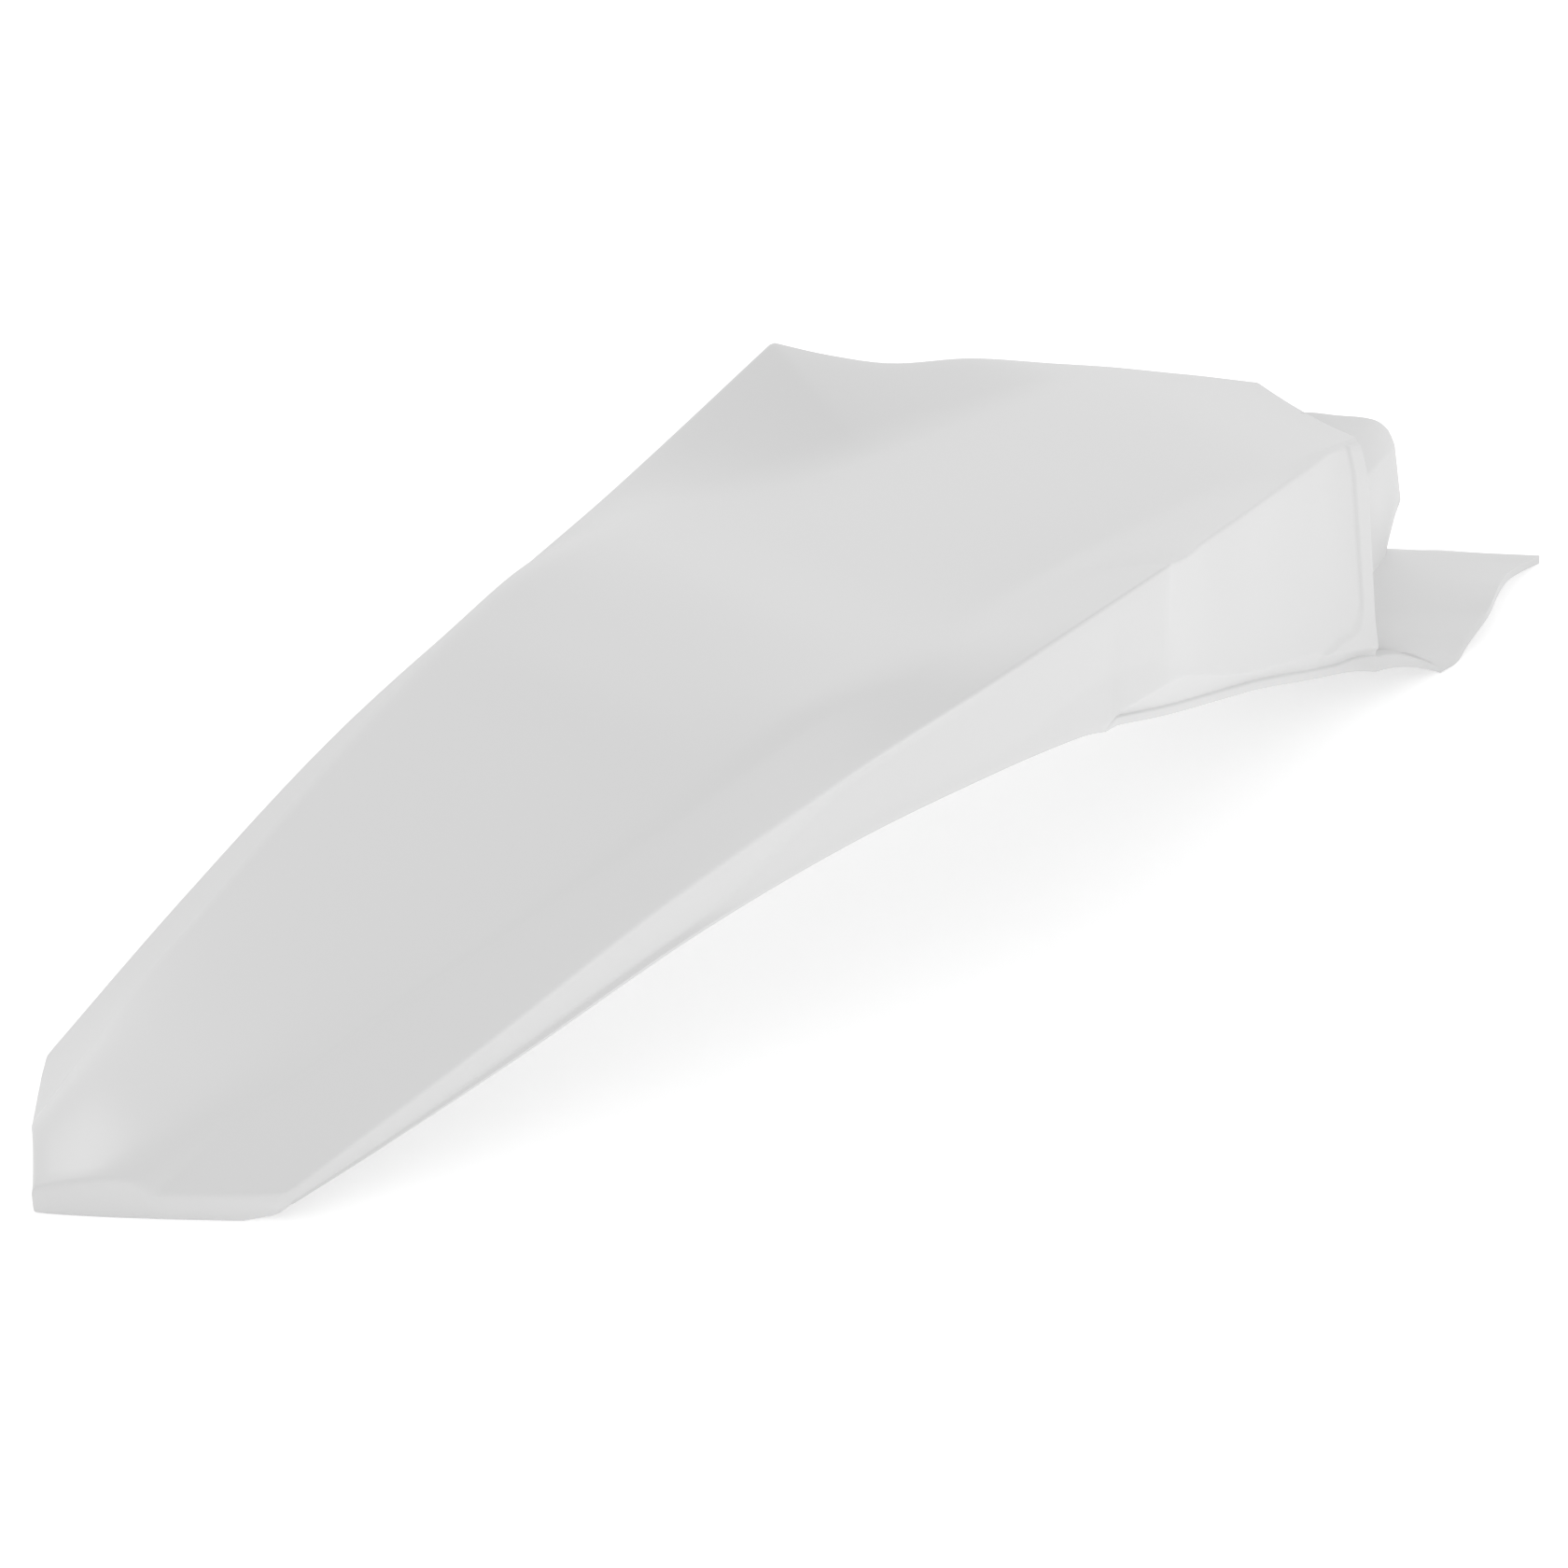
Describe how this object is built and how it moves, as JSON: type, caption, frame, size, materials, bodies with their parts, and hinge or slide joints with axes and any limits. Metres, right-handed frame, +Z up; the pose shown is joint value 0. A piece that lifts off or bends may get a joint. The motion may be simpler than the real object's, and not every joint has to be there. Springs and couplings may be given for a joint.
{
  "type": "motorcycle rear fender",
  "caption": "White moulded rear fender for an off-road motorcycle, with a long tapered tail, raised wings and a pointed front tongue.",
  "frame": {"origin": "middle of the bounding box at its bottom, on the floor that the tail end and the tongue's edge rest on", "axes": "+X forward from the tail tip to the tongue, +Y to the rider's left, +Z up"},
  "size_m": [0.716, 0.216, 0.147],
  "materials": {
    "plastic": "glossy injection-moulded polypropylene, white"
  },
  "bodies": {
    "root": {"rear_fender": "plastic"}
  },
  "joints": []
}
